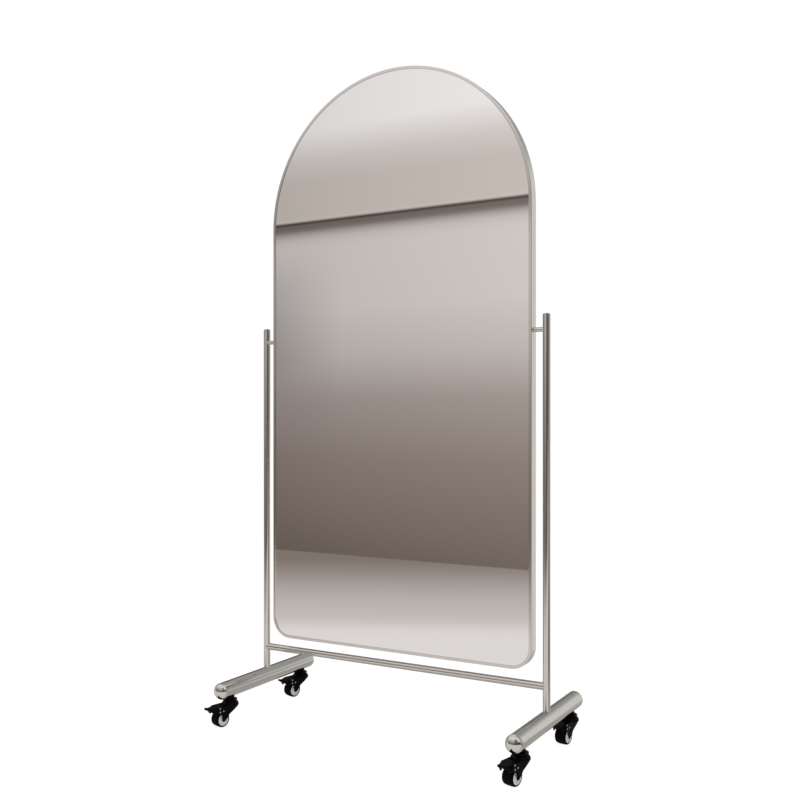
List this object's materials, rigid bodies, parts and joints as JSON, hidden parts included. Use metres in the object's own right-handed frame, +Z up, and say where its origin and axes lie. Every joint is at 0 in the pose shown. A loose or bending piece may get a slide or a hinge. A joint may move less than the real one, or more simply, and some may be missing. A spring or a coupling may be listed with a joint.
{
  "type": "full-length mirror",
  "caption": "Free-standing full-length mirror: a round-topped panel in a thin steel frame tilts between two posts on a stand that rolls on braked swivel casters.",
  "frame": {"origin": "on the floor, under the middle of the tilt axis and half way between the two posts", "axes": "+X to the right as the viewer faces the glass, +Y away from the viewer behind the mirror, +Z up; the glass faces -Y"},
  "size_m": [0.9258, 0.4681, 1.7928],
  "materials": {
    "brushed_steel": "satin, brushed along the tube",
    "polished_steel": "polished, mirror bright",
    "zinc_steel": "bright zinc plated",
    "silvered_glass": "clear float glass, silvered on the back",
    "foam_tape": "matt closed-cell foam",
    "hardboard": "smooth brown hardboard",
    "black_coated_steel": "satin black powder coat",
    "black_plastic": "satin moulded",
    "black_tyre": "matt soft tread",
    "light_grey_nylon": "satin moulded",
    "white_nylon": "satin turned"
  },
  "bodies": {
    "stand": {"left_foot_tube": "brushed_steel", "right_foot_tube": "brushed_steel", "left_front_cap": "polished_steel", "left_rear_cap": "polished_steel", "right_front_cap": "polished_steel", "right_rear_cap": "polished_steel", "left_post": "brushed_steel", "right_post": "brushed_steel", "cross_rail": "brushed_steel", "left_post_cap": "polished_steel", "right_post_cap": "polished_steel", "left_pivot_bush": "white_nylon", "right_pivot_bush": "white_nylon", "post_plugs": "zinc_steel", "post_bolts": "zinc_steel", "saddle_washers": "zinc_steel", "caster_weld_nuts": "zinc_steel", "caster_stems": "zinc_steel", "caster_collars": "black_coated_steel", "caster_race_cups": "black_coated_steel", "swivel_balls": "zinc_steel"},
    "mirror": {"mirror_frame": "brushed_steel", "frame_joiner": "zinc_steel", "mirror_glass": "silvered_glass", "glass_tape": "foam_tape", "back_board": "hardboard", "left_pivot_block": "zinc_steel", "right_pivot_block": "zinc_steel", "left_pivot_pin": "brushed_steel", "right_pivot_pin": "brushed_steel", "frame_screws": "zinc_steel"},
    "front_left_swivel": {"front_left_fork": "black_coated_steel", "front_left_axle": "black_coated_steel", "front_left_fork_pins": "zinc_steel"},
    "front_left_wheel": {"front_left_tyre": "black_tyre", "front_left_hub": "light_grey_nylon"},
    "front_left_brake": {"front_left_brake_pedal": "black_plastic", "front_left_brake_plate": "zinc_steel"},
    "front_right_swivel": {"front_right_fork": "black_coated_steel", "front_right_axle": "black_coated_steel", "front_right_fork_pins": "zinc_steel"},
    "front_right_wheel": {"front_right_tyre": "black_tyre", "front_right_hub": "light_grey_nylon"},
    "front_right_brake": {"front_right_brake_pedal": "black_plastic", "front_right_brake_plate": "zinc_steel"},
    "rear_left_swivel": {"rear_left_fork": "black_coated_steel", "rear_left_axle": "black_coated_steel", "rear_left_fork_pins": "zinc_steel"},
    "rear_left_wheel": {"rear_left_tyre": "black_tyre", "rear_left_hub": "light_grey_nylon"},
    "rear_left_brake": {"rear_left_brake_pedal": "black_plastic", "rear_left_brake_plate": "zinc_steel"},
    "rear_right_swivel": {"rear_right_fork": "black_coated_steel", "rear_right_axle": "black_coated_steel", "rear_right_fork_pins": "zinc_steel"},
    "rear_right_wheel": {"rear_right_tyre": "black_tyre", "rear_right_hub": "light_grey_nylon"},
    "rear_right_brake": {"rear_right_brake_pedal": "black_plastic", "rear_right_brake_plate": "zinc_steel"}
  },
  "joints": [
    {"name": "mirror_tilt", "type": "hinge", "parent": "stand", "child": "mirror", "pos_m": [0, 0, 1.07], "axis": [1, 0, 0], "continuous": true},
    {"name": "front_left_caster_swivel", "type": "hinge", "parent": "stand", "child": "front_left_swivel", "pos_m": [-0.434, -0.167, 0.06], "axis": [0, 0, 1], "continuous": true},
    {"name": "front_left_wheel_roll", "type": "hinge", "parent": "front_left_swivel", "child": "front_left_wheel", "pos_m": [-0.44282, -0.19776, 0.0215], "axis": [0.9613, -0.2756, 0], "continuous": true},
    {"name": "front_left_brake_press", "type": "hinge", "parent": "front_left_swivel", "child": "front_left_brake", "pos_m": [-0.44323, -0.1992, 0.046], "axis": [0.9613, -0.2756, 0], "range_deg": [0, 14]},
    {"name": "front_right_caster_swivel", "type": "hinge", "parent": "stand", "child": "front_right_swivel", "pos_m": [0.434, -0.167, 0.06], "axis": [0, 0, 1], "continuous": true},
    {"name": "front_right_wheel_roll", "type": "hinge", "parent": "front_right_swivel", "child": "front_right_wheel", "pos_m": [0.42572, -0.19791, 0.0215], "axis": [0.9659, -0.2588, 0], "continuous": true},
    {"name": "front_right_brake_press", "type": "hinge", "parent": "front_right_swivel", "child": "front_right_brake", "pos_m": [0.42533, -0.19936, 0.046], "axis": [0.9659, -0.2588, 0], "range_deg": [0, 14]},
    {"name": "rear_left_caster_swivel", "type": "hinge", "parent": "stand", "child": "rear_left_swivel", "pos_m": [-0.434, 0.167, 0.06], "axis": [0, 0, 1], "continuous": true},
    {"name": "rear_left_wheel_roll", "type": "hinge", "parent": "rear_left_swivel", "child": "rear_left_wheel", "pos_m": [-0.44336, 0.1364, 0.0215], "axis": [0.9563, -0.2924, 0], "continuous": true},
    {"name": "rear_left_brake_press", "type": "hinge", "parent": "rear_left_swivel", "child": "rear_left_brake", "pos_m": [-0.44379, 0.13496, 0.046], "axis": [0.9563, -0.2924, 0], "range_deg": [0, 14]},
    {"name": "rear_right_caster_swivel", "type": "hinge", "parent": "stand", "child": "rear_right_swivel", "pos_m": [0.434, 0.167, 0.06], "axis": [0, 0, 1], "continuous": true},
    {"name": "rear_right_wheel_roll", "type": "hinge", "parent": "rear_right_swivel", "child": "rear_right_wheel", "pos_m": [0.42844, 0.13549, 0.0215], "axis": [0.9848, -0.1736, 0], "continuous": true},
    {"name": "rear_right_brake_press", "type": "hinge", "parent": "rear_right_swivel", "child": "rear_right_brake", "pos_m": [0.42818, 0.13401, 0.046], "axis": [0.9848, -0.1736, 0], "range_deg": [0, 14]}
  ]
}
